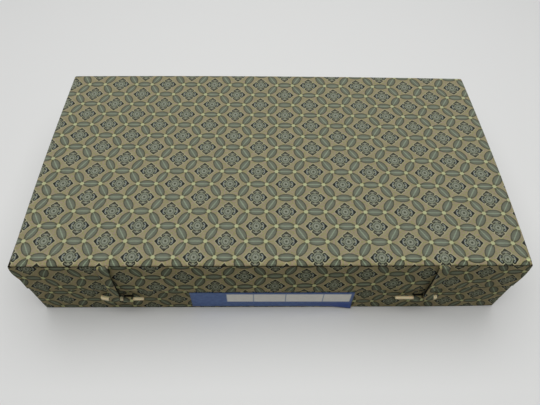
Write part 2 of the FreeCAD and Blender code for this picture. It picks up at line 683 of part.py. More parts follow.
os.makedirs("parts", exist_ok=True)
for node in nodes:
    node.Shape.exportStep(f"parts/{node.Label}.step")
    print(f"{node.Label}: {len(node.Shape.Solids)} solid(s), {node.Shape.Volume:.0f} mm3")
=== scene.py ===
import math
from functools import partial

import bpy
from mathutils import Matrix, Vector, noise


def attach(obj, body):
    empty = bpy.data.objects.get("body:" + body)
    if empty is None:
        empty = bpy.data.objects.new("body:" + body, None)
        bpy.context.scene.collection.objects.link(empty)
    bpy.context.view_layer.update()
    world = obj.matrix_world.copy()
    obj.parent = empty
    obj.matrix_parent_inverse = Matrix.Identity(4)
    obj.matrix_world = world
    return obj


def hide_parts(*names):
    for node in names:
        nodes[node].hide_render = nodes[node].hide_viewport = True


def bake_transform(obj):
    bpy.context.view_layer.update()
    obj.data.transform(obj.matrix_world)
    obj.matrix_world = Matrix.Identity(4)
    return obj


# Brocade-covered game case. The boards, grids, racks and ships come from the frame; the cloth, straps,
# loops, bone pegs, label and linings are modelled here. Their lengths are in millimetres until a mesh is
# made; the stage and what the frame is told are in metres.

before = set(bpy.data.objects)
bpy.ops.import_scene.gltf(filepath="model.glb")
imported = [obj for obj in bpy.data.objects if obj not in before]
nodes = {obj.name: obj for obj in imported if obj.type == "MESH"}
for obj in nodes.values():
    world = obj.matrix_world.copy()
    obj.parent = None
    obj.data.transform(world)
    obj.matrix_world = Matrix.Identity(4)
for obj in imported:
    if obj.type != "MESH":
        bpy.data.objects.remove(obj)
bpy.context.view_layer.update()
MM = 0.001

HALF_LENGTH = 210.0
HALF_DEPTH = 114.0
TRAY_TOP = 43.0
LID_LOW = 43.4
LID_TOP = 83.0
FLARE_STARTS = 76.5
FLARE_SIDE = 1.0
FLARE_FRONT = 0.2
FRONT_BOW = 4.2
STRAP_X = 139.0
PEG_AXIS = (-117.55, 27.5)
# The cloth's length from the strap's seam down to its peg.
STRAP_FALL = 56.0
CLOTH_THICK = 0.5
# Rounded corners make the walls' cloth a little shorter than a square round.
WALL_RADIUS = 1.2


# Materials

def linear(code):
    """An sRGB hex colour as linear RGBA."""
    channels = [int(code[place:place + 2], 16) / 255 for place in (1, 3, 5)]
    return [c / 12.92 if c <= 0.04045 else ((c + 0.055) / 1.055) ** 2.4 for c in channels] + [1.0]


def add(tree, kind, values=(), out=0, **settings):
    """Add one node with its settings; a second word of kind is its operation. values go to its inputs by
    place or name, and sockets are linked. A mix takes its share at input 0, numbers at 2 and 3, vectors at
    4 and 5, colours at 6 and 7."""
    kind, *operation = kind.split()
    made = tree.nodes.new("ShaderNode" + kind)
    if operation:
        made.operation = operation[0]
    for name, setting in settings.items():
        setattr(made, name, setting)
    pairs = values.items() if isinstance(values, dict) else enumerate(values)
    for key, value in pairs:
        if isinstance(value, bpy.types.NodeSocket):
            tree.links.new(value, made.inputs[key])
        else:
            made.inputs[key].default_value = value
    return made.outputs[out]


# Settings of a mix of colours, whose colour comes out at 2
RGBA = {"out": 2, "data_type": "RGBA"}


def finish_surface(name, finish):
    """A new material with its shader's plain numbers set; gives the material, its tree and the shader."""
    material = bpy.data.materials.new(name)
    material.use_nodes = True
    shader = material.node_tree.nodes["Principled BSDF"]
    for socket, value in finish.items():
        shader.inputs[socket].default_value = value
    return material, material.node_tree, shader


def dress(tree, shader, shade, bump):
    """Give a shader its colour and its relief."""
    tree.links.new(shade, shader.inputs["Base Color"])
    tree.links.new(bump, shader.inputs["Normal"])


# The brocade's figures, in millimetres on the cloth: half the repeat, the leaves and the beads. A leaf
# tapers by a power, and its spine thins out by so much per millimetre.
HEX_X, HEX_Y = 25.0, 14.75
LEAF_HALF_LENGTH, LEAF_HALF_WIDTH = 8.45, 3.8
LEAF_TAPER = 2.25
LEAF_SPINE = 1.9
BEAD_RADIUS, BEAD_SOFT = 1.75, 0.25

# The medallion's four cloud heads, drawn as tall as they are wide and then stretched upwards
MEDALLION_SQUASH = 0.932
SIDE_LOBE, END_LOBE = (4.95, 2.4, 0.0), (5.1, 2.5, 0.0)
LOBE_RADIUS = 1.5
HEAD_BACK, HEAD_SLOPE, HEAD_TIP = 5.75, 6.5, 9.0
CRESCENT_MIDDLE, CRESCENT_RADIUS = (3.4, 0.0, 0.0), 2.85

# The rosette in its middle: petals, rings and outline. A ring has its radius, its half width from the outer
# end of its soft edge to the inner, and any least and most share.
PETALS, PETAL_DEPTH = 8.0, 0.28
DARK_RINGS = ((2.8, 0.55, 0.275), (4.75, 0.4, 0.2))
PALE_RINGS = ((1.9, 0.6, 0.25, 0.0, 0.6), (5.6, 0.7, 0.3))
ROSE_RADIUS, ROSE_SOFT = 5.5, 0.2

# Ribs across the leaves, in radians per millimetre, and the power by which colour fades as the figures are
# painted deeper as shade
LEAF_RIBS = 3.9
COLOUR_EASE = -0.35


def woven_brocade(name, depth, gain):
    """Silk brocade, woven: hexagons of long leaves with a bead at each corner, a four-headed cloud
    medallion in each. The eye sees a soft khaki ground, grey-green leaves, near-black tips and a dull silky
    sheen. depth deepens the figures' colours as painted shade, for cloth that faces away from the light,
    with the colour eased back as they deepen, and gain keeps the whole as bright."""
    material, tree, shader = finish_surface(name, {"Roughness": 0.8, "Specular IOR Level": 0.12})
    node = partial(add, tree)

    # Threads wander a little, so no outline is perfectly drawn.
    cloth = node("UVMap", uv_map="cloth")
    wander = node("TexNoise", {"Vector": cloth, "Scale": 0.55, "Detail": 1.0}, out=1)
    wander = node("VectorMath SUBTRACT", (wander, (0.5, 0.5, 0.5)))
    place = node("VectorMath MULTIPLY_ADD", (wander, (0.5, 0.5, 0.0), cloth))

    # The nearer of two staggered lattices of cell middles gives the place within one hexagon.
    lattices = []
    cell_ends = ((HEX_X, HEX_Y, 1.0), (-HEX_X, -HEX_Y, -1.0))
    for shift in ((0.0, 0.0, 0.0), (HEX_X, HEX_Y, 0.0)):
        moved = node("VectorMath ADD", (place, shift))
        lattices.append(node("VectorMath WRAP", (moved, *cell_ends)))
    reach = [node("VectorMath LENGTH", (at,), out=1) for at in lattices]
    second = node("Math GREATER_THAN", reach)
    cell = node("Mix", {0: second, 4: lattices[0], 5: lattices[1]}, out=1, data_type="VECTOR")
    folded = node("VectorMath ABSOLUTE", (cell,))
    x, y = [node("SeparateXYZ", (folded,), out=axis) for axis in (0, 1)]

    # A blunt leaf lies on every edge of the hexagon: how far across it and how far along it.
    side = math.hypot(HEX_X, HEX_Y)
    normal = (HEX_X / side, HEX_Y / side, 0.0)
    along_edge = (-normal[1], normal[0], 0.0)
    corner_x = side / 2 / normal[0]
    top_corner_x = (side / 2 - HEX_Y * normal[1]) / normal[0]
    toward_edge = node("VectorMath DOT_PRODUCT", (folded, normal), out=1)
    slid = node("VectorMath DOT_PRODUCT", (folded, along_edge), out=1)
    from_level = node("Math SUBTRACT", (HEX_Y, y))
    from_slant = node("Math SUBTRACT", (side / 2, toward_edge))
    edges = ((from_level, x), (from_slant, node("Math ABSOLUTE", (slid,))))
    leaves, spines = [], []
    for across, along in edges:
        share = node("Math DIVIDE", (along, LEAF_HALF_LENGTH))
        taper = node("Math POWER", (share, LEAF_TAPER))
        leaves.append(node("Math MULTIPLY_ADD", (across, 1 / LEAF_HALF_WIDTH, taper)))
        spines.append(node("Math MULTIPLY_ADD", (across, LEAF_SPINE, taper)))
    leaf = node("Math MINIMUM", leaves)
    spine = node("Math MINIMUM", spines)
    in_leaf = node("MapRange", (leaf, 1.06, 0.94))
    leaf_rim = node("MapRange", (leaf, 0.68, 0.94))
    leaf_heart = node("MapRange", (leaf, 0.55, 0.15))
    in_spine = node("MapRange", (spine, 1.1, 0.5))
    level_leaf = node("Math LESS_THAN", leaves)
    end_place = node("Mix", {0: level_leaf, 2: edges[1][1], 3: edges[0][1]}, data_type="FLOAT")
    leaf_end = node("MapRange", (end_place, 3.8, 6.6, 0.0, 0.8))

    beads = [node("VectorMath DISTANCE", (folded, at), out=1)
             for at in ((corner_x, 0.0, 0.0), (top_corner_x, HEX_Y, 0.0))]
    bead = node("Math MINIMUM", beads)
    in_bead = node("MapRange", (bead, BEAD_RADIUS + BEAD_SOFT, BEAD_RADIUS - BEAD_SOFT))

    # The medallion folds four ways onto one cloud head: a solid point with two dark curls behind it, and a
    # pale crescent between them.
    upright = node("VectorMath MULTIPLY", (folded, (1.0, MEDALLION_SQUASH, 0.0)))
    mx, my = [node("SeparateXYZ", (upright,), out=axis) for axis in (0, 1)]
    outwards = node("Math MAXIMUM", (mx, my))
    sideways = node("Math MINIMUM", (mx, my))
    side_head = node("Math GREATER_THAN", (mx, my))
    head_place = node("CombineXYZ", (outwards, sideways))
    lobe_middle = node("Mix", {0: side_head, 4: END_LOBE, 5: SIDE_LOBE}, out=1, data_type="VECTOR")
    from_lobe = node("VectorMath DISTANCE", (head_place, lobe_middle), out=1)
    lobe = node("Math SUBTRACT", (from_lobe, LOBE_RADIUS))
    slope = node("VectorMath DOT_PRODUCT", (head_place, (0.707, 0.707, 0.0)), out=1)
    slope = node("Math SUBTRACT", (slope, HEAD_SLOPE))
    behind = node("Math SUBTRACT", (HEAD_BACK, outwards))
    blunt = node("Math SUBTRACT", (outwards, HEAD_TIP))
    point = node("Math MAXIMUM", (slope, behind))
    point = node("Math SMOOTH_MAX", (point, blunt, 0.5))
    head = node("Math SMOOTH_MIN", (lobe, point, 0.4))
    in_head = node("MapRange", (head, 0.15, -0.15))
    bend = node("VectorMath DISTANCE", (head_place, CRESCENT_MIDDLE), out=1)
    bend = node("Math SUBTRACT", (bend, CRESCENT_RADIUS))
    bend = node("Math ABSOLUTE", (bend,))
    between_curls = node("MapRange", (sideways, 2.3, 1.9))
    crescent = node("Math MULTIPLY", (node("MapRange", (bend, 0.55, 0.3)), between_curls))
    curl_heart = node("MapRange", (from_lobe, 0.7, 0.35, 0.0, 0.8))
    pale_part = node("Math MAXIMUM", (crescent, curl_heart))
    in_tip = node("MapRange", (outwards, 6.3, 6.8))
    halo = node("MapRange", (head, 0.95, 0.35))

    # The rosette in the middle has eight petals, dark and pale rings and a dark eye.
    radius = node("VectorMath LENGTH", (upright,), out=1)
    angle = node("Math ARCTAN2", (y, x))
    petals = node("Math COSINE", (node("Math MULTIPLY", (angle, PETALS)),))
    rose = node("Math MULTIPLY_ADD", (petals, PETAL_DEPTH, radius))
    in_rose = node("MapRange", (rose, ROSE_RADIUS + ROSE_SOFT, ROSE_RADIUS - ROSE_SOFT))
    rings = []
    for at, *soft in DARK_RINGS + PALE_RINGS:
        ring = node("Math SUBTRACT", (rose, at))
        ring = node("Math ABSOLUTE", (ring,))
        rings.append(node("MapRange", (ring, *soft)))
    in_ring = node("Math MAXIMUM", rings[:2])
    in_pale_ring = rings[2]
    between = node("Math MULTIPLY", (rings[3], node("MapRange", (sideways, 2.7, 3.3))))
    in_eye = node("MapRange", (radius, 1.05, 0.7))

    # Thread flecks: the ground shifts between pinkish and yellowish khaki over one or two millimetres, and
    # the leaves are ribbed across.
    fleck = node("TexNoise", {"Vector": cloth, "Scale": 0.65, "Detail": 3.0})
    patch = node("TexNoise", {"Vector": cloth, "Scale": 0.12, "Detail": 2.0})
    warm = node("MapRange", (fleck, 0.36, 0.64))
    shade = node("Mix", {0: warm, 6: linear("#87865A"), 7: linear("#918374")}, **RGBA)
    ribs = node("Math MULTIPLY", (node("SeparateXYZ", (cloth,), out=1), LEAF_RIBS))
    ribs = node("Math SINE", (ribs,))
    rib_shade = node("MapRange", (ribs, -1.0, 1.0, 0.0, 0.22))
    head_tip = node("Math MULTIPLY", (in_head, in_tip))
    pale_curl = node("Math MULTIPLY", (in_head, pale_part))
    layers = (
        (halo, 0.6, "#A3A286"),
        (in_leaf, 1.0, "#676B5D"),
        (in_leaf, leaf_heart, "#6E7364"),
        (in_leaf, leaf_rim, "#3E3E34"),
        (in_leaf, leaf_end, "#4E4C36"),
        (in_leaf, in_spine, "#8A9580"),
        (in_leaf, rib_shade, "#505246"),
        (in_bead, 1.0, "#A8AB83"),
        (in_rose, 1.0, "#7A7E6C"),
        (in_pale_ring, 1.0, "#8F9186"),
        (in_ring, 1.0, "#5C6154"),
        (in_eye, 1.0, "#3E4136"),
        (between, 1.0, "#A3A286"),
        (in_head, 1.0, "#3C3B30"),
        (in_head, side_head, "#30322B"),
        (pale_curl, 1.0, "#797C70"),
        (pale_curl, side_head, "#7A817C"),
        (head_tip, 1.0, "#38382F"),
        (head_tip, side_head, "#222524"),
    )
    for cover, share, colour in layers:
        cover = node("Math MULTIPLY", (cover, share))
        shade = node("Mix", {0: cover, 6: shade, 7: linear(colour)}, **RGBA)
    # Painted shade: a depth above 1 deepens the figures for cloth facing away from the light; the gain
    # lifts the whole back.
    shade = node("Gamma", (shade, depth))
    shade = node("HueSaturation", {"Saturation": depth ** COLOUR_EASE, "Color": shade})
    wear_and_shade_gain = node("MapRange", (patch, 0.3, 0.7, 0.94 * gain, 1.06 * gain))
    shade = node("Mix", {0: 1.0, 6: shade, 7: wear_and_shade_gain}, **RGBA, blend_type="MULTIPLY")

    # Warp and weft at 1 mm, twice the real spacing, so that the weave shows; the figures stand up a little.
    threads = node("VectorMath MULTIPLY", (cloth, (2 * math.pi, 2 * math.pi, 0.0)))
    threads = node("VectorMath SINE", (threads,))
    weave = node("VectorMath DOT_PRODUCT", (threads, (0.5, 0.5, 0.0)), out=1)
    raised = node("Math MAXIMUM", (in_leaf, in_head))
    raised = node("Math MAXIMUM", (raised, in_bead))
    height = node("Math MULTIPLY_ADD", (weave, 0.35, raised))
    bump = node("Bump", {"Height": height, "Strength": 0.35, "Distance": 0.00025})
    dress(tree, shader, shade, bump)
    return material


def satin_lining():
    """Gold rayon satin, woven with long floats: smooth and bright along the threads, with faint stripes."""
    material, tree, shader = finish_surface("gold_satin", {
        "Roughness": 0.42, "Specular IOR Level": 0.5, "Sheen Weight": 0.25, "Anisotropic": 0.4})
    node = partial(add, tree)
    cloth = node("UVMap", uv_map="cloth")
    floats = node("VectorMath MULTIPLY", (cloth, (1.2, 0.03, 1.0)))
    streak = node("TexNoise", {"Vector": floats, "Scale": 1.0, "Detail": 3.0})
    ribs = node("TexWave", {"Vector": cloth, "Scale": 0.32, "Distortion": 0.6}, bands_direction="X")
    shade = node("Mix", {0: streak, 6: linear("#B08A3C"), 7: linear("#CDA957")}, **RGBA)
    bump = node("Bump", {"Height": ribs, "Strength": 0.15, "Distance": 0.0002})
    dress(tree, shader, shade, bump)
    return material


def grained(name, pale, dark, grain, finish):
    """Straight-grained wood along X: long fibres, darker late-wood lines and fine pores, grain millimetres
    apart."""
    material, tree, shader = finish_surface(name, finish)
    node = partial(add, tree)
    place = node("TexCoord", out="Object")
    stretched = node("VectorMath MULTIPLY", (place, (40.0, 1000.0 / grain, 1000.0 / grain)))
    fibres = node("TexNoise", {"Vector": stretched, "Scale": 1.0, "Detail": 6.0, "Roughness": 0.65})
    lines = node("MapRange", (fibres, 0.35, 0.68))
    shade = node("Mix", {0: lines, 6: linear(pale), 7: linear(dark)}, **RGBA)
    bump = node("Bump", {"Height": fibres, "Strength": 0.2, "Distance": 0.0003})
    rough = node("MapRange", (fibres, 0.3, 0.7, 0.38, 0.55))
    dress(tree, shader, shade, bump)
    tree.links.new(rough, shader.inputs["Roughness"])
    return material, tree, shader, shade


# The printed grids' low corner, cell and number of cells; lines are in shares of a cell
GRID_LOW_X, GRID_LOW_Y = -192.9, -96.9
GRID_PITCH = 19.38
GRID_CELLS = 10
LINE_EDGE = (0.03, 0.018)
GRID_END = (0.05, 0.02)


def printed_grid(name, pale, dark, ink):
    """Varnished beech with the ten-by-ten grid printed on it in thin ink lines round the holes."""
    varnish = {"Coat Weight": 0.25, "Coat Roughness": 0.2}
    material, tree, shader, wood = grained(name, pale, dark, 2.5, varnish)
    node = partial(add, tree)
    half = GRID_CELLS / 2
    place = node("TexCoord", out="Object")
    cells = node("VectorMath SUBTRACT", (place, (GRID_LOW_X * MM, GRID_LOW_Y * MM, 0.0)))
    per_metre = 1000.0 / GRID_PITCH
    cells = node("VectorMath MULTIPLY", (cells, (per_metre, per_metre, 0.0)))
    part = node("VectorMath WRAP", (cells, (0.5, 0.5, 0.5), (-0.5, -0.5, -0.5)))
    part = node("VectorMath ABSOLUTE", (part,))
    inside = node("VectorMath SUBTRACT", (cells, (half, half, 0.0)))
    inside = node("VectorMath ABSOLUTE", (inside,))
    lines = []
    for axis in (0, 1):
        gap = node("SeparateXYZ", (part,), out=axis)
        lines.append(node("MapRange", (gap, *LINE_EDGE)))
    line = node("Math MAXIMUM", lines)
    reach = node("Math MAXIMUM", [node("SeparateXYZ", (inside,), out=axis) for axis in (0, 1)])
    within = node("MapRange", (reach, half + GRID_END[0], half + GRID_END[1]))
    printed = node("Math MULTIPLY", (line, within))
    shade = node("Mix", {0: printed, 6: wood, 7: linear(ink)}, **RGBA)
    tree.links.new(shade, shader.inputs["Base Color"])
    return material


def speckled(name, pale, dark, speck, finish, bump_depth):
    """A painted, papered or woven surface: colour drifts between two close shades, in specks of the given
    size in millimetres."""
    material, tree, shader = finish_surface(name, finish)
    node = partial(add, tree)
    place = node("TexCoord", out="Object")
    fine = node("TexNoise", {"Vector": place, "Scale": 1000.0 / speck, "Detail": 4.0})
    broad = node("TexNoise", {"Vector": place, "Scale": 100.0 / speck, "Detail": 2.0})
    mixed = node("Math MULTIPLY", (broad, 0.5))
    mixed = node("Math MULTIPLY_ADD", (fine, 0.5, mixed))
    drift = node("MapRange", (mixed, 0.35, 0.65))
    shade = node("Mix", {0: drift, 6: linear(pale), 7: linear(dark)}, **RGBA)
    bump = node("Bump", {"Height": fine, "Strength": 0.3, "Distance": bump_depth * MM})
    dress(tree, shader, shade, bump)
    return material


def cut_bone():
    """Ox bone, sawn and polished: warm cream, faint long streaks and fine dark pores, a soft waxy gloss."""
    material, tree, shader = finish_surface("polished_bone", {
        "Roughness": 0.38, "Specular IOR Level": 0.5, "Subsurface Weight": 0.15, "Subsurface Scale": 0.002})
    node = partial(add, tree)
    place = node("TexCoord", out="Object")
    long_grain = node("VectorMath MULTIPLY", (place, (60.0, 900.0, 900.0)))
    streak = node("TexNoise", {"Vector": long_grain, "Scale": 1.0, "Detail": 4.0})
    shade = node("Mix", {0: streak, 6: linear("#F3E6C0"), 7: linear("#D9C595")}, **RGBA)
    pores = node("MapRange", (node("TexNoise", {"Vector": long_grain, "Scale": 2.5}), 0.68, 0.74))
    shade = node("Mix", {0: pores, 6: shade, 7: linear("#A98F62")}, **RGBA)
    bump = node("Bump", {"Height": streak, "Strength": 0.2, "Distance": 0.0002})
    dress(tree, shader, shade, bump)
    return material


# The label's white panel and the rules that divide it, in millimetres from the tray's middle and foot
PANEL_X, PANEL_Y = (-41.5, 71.4), (12.9, 29.0)
PANEL_SOFT = 1.0
RULES = (-17.0, 12.0, 46.0)


def label_paper():
    """Coated label paper, printed: blue field with a plain white panel ruled by thin lines. It is a little
    scuffed, and deeper blue towards the lifted corner's lower edge: painted shade where the corner tilts
    down."""
    coating = {"Roughness": 0.4, "Specular IOR Level": 0.5}
    material, tree, shader = finish_surface("printed_label_paper", coating)
    node = partial(add, tree)
    place = node("UVMap", uv_map="cloth")
    x, y = [node("SeparateXYZ", (place,), out=axis) for axis in (0, 1)]
    panel = 1.0
    for along, sides in ((x, PANEL_X), (y, PANEL_Y)):
        for side, inwards in zip(sides, (PANEL_SOFT, -PANEL_SOFT)):
            edge = node("MapRange", (along, side, side + inwards))
            panel = node("Math MULTIPLY", (panel, edge))
    rules = []
    for at in RULES:
        gap = node("Math ABSOLUTE", (node("Math SUBTRACT", (x, at)),))
        rules.append(node("MapRange", (gap, 0.7, 0.3)))
    rule = node("Math MAXIMUM", (node("Math MAXIMUM", rules[:2]), rules[2]))
    scuff = node("TexNoise", {"Vector": place, "Scale": 0.25, "Detail": 5.0})
    rubbed = node("MapRange", (scuff, 0.35, 0.7))
    field = node("Mix", {0: rubbed, 6: linear("#2A5296"), 7: linear("#446BA8")}, **RGBA)
    # Painted shade: the blue deepens towards the lifted corner's lower edge, which tilts down.
    low_edge = node("MapRange", (y, 13.0, 9.0))
    corner_shade = node("Math MULTIPLY", (node("MapRange", (x, 15.0, 62.0, 0.0, 0.85)), low_edge))
    field = node("Mix", {0: corner_shade, 6: field, 7: linear("#123D92")}, **RGBA)
    white = node("Mix", {0: scuff, 6: linear("#FBFAF4"), 7: linear("#E8E9E8")}, **RGBA)
    white = node("Mix", {0: rule, 6: white, 7: linear("#A9B6CC")}, **RGBA)
    shade = node("Mix", {0: panel, 6: field, 7: white}, **RGBA)
    bump = node("Bump", {"Height": scuff, "Strength": 0.15, "Distance": 0.0003})
    dress(tree, shader, shade, bump)
    return material


BROCADE = woven_brocade("silk_brocade", 1.0, 1.0)
# On upright cloth the figures are painted deeper, as painted shade: the walls face away from the overhead
# light.
SHADED_UPRIGHT_BROCADE = woven_brocade("upright_silk_brocade_painted_shade", 1.4, 1.82)
SATIN = satin_lining()
BONE = cut_bone()
LABEL_PAPER = label_paper()
# Grey binder's board faced with cream paper: matt, with faint fibres.
BOARD_PAPER = speckled("cream_faced_board", "#D8CDB0", "#C9BC9C", 0.8, {"Roughness": 0.85}, 0.05)
DULL = {"Roughness": 0.9, "Specular IOR Level": 0.1}
# Near-black cloth on the straps' backs and rolled hems and on one row of each loop: painted shade for
# the dark slits beside the straps and above the loops. Dull, with the least trace of thread.
SHADE_BACKING = speckled("black_backing_painted_shade", "#15140F", "#1E1C15", 0.7, DULL, 0.05)
# The cut edge of the brocade, tucked into the seam: dark with paste and handling.
# Dark cloth in the seam under the top's edge: painted shade for the shadow gap there.
SEAM_FINISH = {"Roughness": 0.95, "Specular IOR Level": 0.1}
SEAM_SHADE_CLOTH = speckled("seam_painted_shade", "#1F1810", "#2A2116", 0.7, SEAM_FINISH, 0.05)
# Dark blue base paper, matt and slightly mottled.
BASE_PAPER = speckled("blue_base_paper", "#2D3A52", "#36455F", 1.2, {"Roughness": 0.8}, 0.05)
RACK_WOOD = grained("waxed_beech", "#C79F6A", "#A77D4A", 2.0, {"Coat Weight": 0.1})[0]
# Brushed enamel on wood: satin gloss with a slight orange-peel.
ENAMEL = {"Roughness": 0.35, "Coat Weight": 0.2}
SHIP_PAINT = speckled("grey_enamel", "#75808A", "#69747E", 1.5, ENAMEL, 0.08)
# Lacquered marker pegs: glossy, with soft waves in the lacquer.
LACQUER = {"Roughness": 0.25, "Coat Weight": 0.4}
PEG_WHITE = speckled("white_lacquer", "#EEEBE2", "#E2DED2", 1.5, LACQUER, 0.06)
PEG_RED = speckled("red_lacquer", "#B3231D", "#A01C18", 1.5, LACQUER, 0.06)


# Meshes

def put_in_scene(name, data):
    made = bpy.data.objects.new(name, data)
    bpy.context.scene.collection.objects.link(made)
    return made


def make_piece(name, rows, cloth, material, thick=0.0, other=None, other_rows=(), other_columns=()):
    """A smooth sheet through rows of points; cloth holds each point's place on the flat cloth. The other
    material goes on the named rows and columns of faces."""
    wide = len(rows[0])
    faces = []
    for row in range(len(rows) - 1):
        for column in range(wide - 1):
            first = row * wide + column
            faces.append((first, first + 1, first + wide + 1, first + wide))
    mesh = bpy.data.meshes.new(name)
    mesh.from_pydata([Vector(point) * MM for row in rows for point in row], [], faces)
    flat = [place for row in cloth for place in row]
    layer = mesh.uv_layers.new(name="cloth")
    for loop in mesh.loops:
        layer.data[loop.index].uv = flat[loop.vertex_index]
    mesh.materials.append(material)
    if other:
        mesh.materials.append(other)
        for face in mesh.polygons:
            row, column = divmod(face.index, wide - 1)
            face.material_index = int(row in other_rows or column in other_columns)
    mesh.shade_smooth()
    made = put_in_scene(name, mesh)
    if thick:
        shell = made.modifiers.new("cloth thickness", "SOLIDIFY")
        shell.thickness = thick * MM
        shell.offset = -1.0
    return made


def stand_for(made, body, slot, *replaced):
    """Put a piece on its body, in place of the frame's own nodes; slot is not used."""
    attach(made, body)
    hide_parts(*replaced)


def walked(points):
    """The distance along a line of points, from its first."""
    total = [0.0]
    for before, after in zip(points, points[1:]):
        total.append(total[-1] + math.dist(before, after))
    return total


def spread(low, high, pitch):
    """Even places from low to high, about one pitch apart."""
    steps = max(1, round((high - low) / pitch))
    return [low + (high - low) * step / steps for step in range(steps + 1)]


def panel_marks(half, edge, pitch):
    """Places across a panel with its edge turned down: (place, drop, place on the flat cloth)."""
    turn = walked(edge)
    flat_from = edge[-1][0]
    marks = []
    for (inset, drop), walk in zip(edge, turn):
        marks.append((-half + inset, drop, -half + flat_from - turn[-1] + walk))
    marks += [(place, 0.0, place) for place in spread(-half + flat_from, half - flat_from, pitch)[1:-1]]
    return marks + [(-place, drop, -flat) for place, drop, flat in reversed(marks[:len(edge)])]


def round_corner(x, y, half_x, half_y, radius):
    """Pull a point near a plan corner in, so that the corner is a quarter circle."""
    deep_x, deep_y = abs(x) - half_x + radius, abs(y) - half_y + radius
    if deep_x <= 0 or deep_y <= 0:
        return x, y
    share = max(deep_x, deep_y) / math.hypot(deep_x, deep_y)
    new_x, new_y = half_x - radius + deep_x * share, half_y - radius + deep_y * share
    return math.copysign(new_x, x), math.copysign(new_y, y)


PANEL_PITCH = 6.0
PANEL_RADIUS = 2.0
HOLLOW_PITCH, HOLLOW_SLICE, HOLLOW_DEPTH = 45, 3.7, 0.25
SWELL_POWER = 4


def covered_panel(name, half_x, half_y, edge, level, face, swell, outline, pattern, material, front=None):
    """A padded panel: soft turned-down edges, a slight swell and faint hollows. face is 1 up or -1 down;
    outline moves a plan point, and says how far it is raised; front is its front edge's own material."""
    rows, cloth = [], []
    for y, drop_y, flat_y in panel_marks(half_y, edge, PANEL_PITCH):
        row, flat = [], []
        for x, drop_x, flat_x in panel_marks(half_x, edge, PANEL_PITCH):
            across = 1 - (x / half_x) ** SWELL_POWER
            down = 1 - (y / half_y) ** SWELL_POWER
            hollow = noise.noise((x / HOLLOW_PITCH, y / HOLLOW_PITCH, HOLLOW_SLICE)) * HOLLOW_DEPTH
            height = (swell + hollow) * max(0.0, across * down) - max(drop_x, drop_y)
            plan_x, plan_y, rise = outline(*round_corner(x, y, half_x, half_y, PANEL_RADIUS))
            row.append((plan_x, plan_y, level + face * height + rise))
            flat.append(pattern(flat_x, flat_y))
        rows.append(row if face > 0 else row[::-1])
        cloth.append(flat if face > 0 else flat[::-1])
    return make_piece(name, rows, cloth, material, other=front, other_rows=range(len(edge) - 1))


CORNER_STEPS = 6
WALL_PITCH = 5.0


def loop_places(half_x, half_y, radius, seam):
    """Places round a rounded rectangle from the seam at the middle of its front (-1) or back (1), running
    left to right along the front. Each has its plan point, its outward angle and its distance from the
    front's middle."""
    corners = [(1, -1, 270), (1, 1, 0), (-1, 1, 90), (-1, -1, 180)]
    if seam > 0:
        corners = corners[2:] + corners[:2]
    stops = [((0.0, seam * half_y), seam * 90.0)]
    for sign_x, sign_y, start in corners:
        for step in range(CORNER_STEPS + 1):
            degrees = start + 90 * step / CORNER_STEPS
            turn = math.radians(degrees)
            stops.append(((sign_x * (half_x - radius) + radius * math.cos(turn),
                           sign_y * (half_y - radius) + radius * math.sin(turn)), degrees))
    stops.append(stops[0])
    places = stops[:1]
    for (last, _), (stop, degrees) in zip(stops, stops[1:]):
        for share in spread(0.0, 1.0, WALL_PITCH / max(WALL_PITCH, math.dist(last, stop)))[1:]:
            x = last[0] + (stop[0] - last[0]) * share
            y = last[1] + (stop[1] - last[1]) * share
            places.append(((x, y), degrees))
    walk = walked([point for point, _ in places])
    start = walk[-1] / 2 if seam > 0 else 0.0
    return [(point, turn, distance - start) for (point, turn), distance in zip(places, walk)]


def wrapped_walls(name, half_x, half_y, radius, seam, profile, lean, pattern, material, thick, inward=False,
                  other=None, other_rows=()):
    """A strip of cloth round four walls. profile lists (inset, height) upwards; lean moves a plan point."""
    lengths = walked(profile)
    places = loop_places(half_x, half_y, radius, seam)
    rows, cloth = [], []
    for (inset, height), length in zip(profile, lengths):
        row, flat = [], []
        for (x, y), degrees, distance in places:
            turn = math.radians(degrees)
            leant_x, leant_y = lean(x, y, height)
            row.append((leant_x - inset * math.cos(turn), leant_y - inset * math.sin(turn), height))
            flat.append(pattern(distance, length))
        rows.append(row[::-1] if inward else row)
        cloth.append(flat[::-1] if inward else flat)
    return make_piece(name, rows, cloth, material, thick, other, other_rows)


# A ribbon's section: steps round it, where its back starts, and the power that makes it flat
SECTION_STEPS = 16
SECTION_BACK = 8
SECTION_FLAT = 0.35

# How far a hem is rolled back and stands forward, and the least share of the roll that stays near the ends;
# the rolled hem shows the near-black back as painted shade beside the strap
HEM_ROLL, HEM_ROLL_POWER = 2.2, 4
HEM_FORWARD = 3.0
HEM_LEAST = 0.25

# A ribbon's ends are pinched to this share; a loop's near-black row, painted shade above the loop, starts
# this many points from its upper end
END_PINCH = 0.05
SHADED_LOOP_ROW = 7


